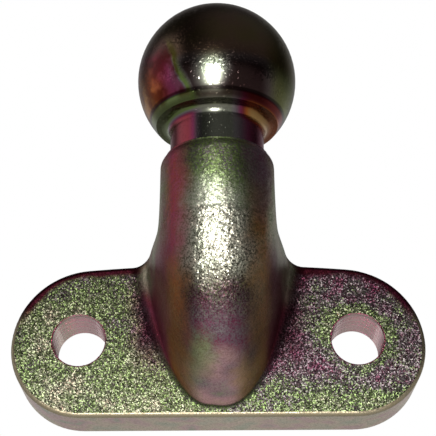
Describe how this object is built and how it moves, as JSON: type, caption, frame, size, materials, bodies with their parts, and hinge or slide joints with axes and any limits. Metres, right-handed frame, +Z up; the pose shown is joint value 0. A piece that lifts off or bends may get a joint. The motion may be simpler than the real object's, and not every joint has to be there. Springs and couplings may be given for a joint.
{
  "type": "tow ball",
  "caption": "Forged bolt-on tow ball: a turned coupling ball and neck on a curved arm that blends into a flat two-hole mounting flange.",
  "frame": {"origin": "midway between the bolt holes, on the flange's mounting face", "axes": "+Z up along the ball's axis, +Y back through the flange towards the vehicle, +X along the line of the bolt holes"},
  "size_m": [0.1336, 0.081, 0.1219],
  "materials": {
    "passivated_steel": "zinc plated with iridescent yellow passivation: grit blasted on flange and arm, turned smooth on ball and neck"
  },
  "bodies": {
    "root": {"tow_ball": "passivated_steel"}
  },
  "joints": []
}
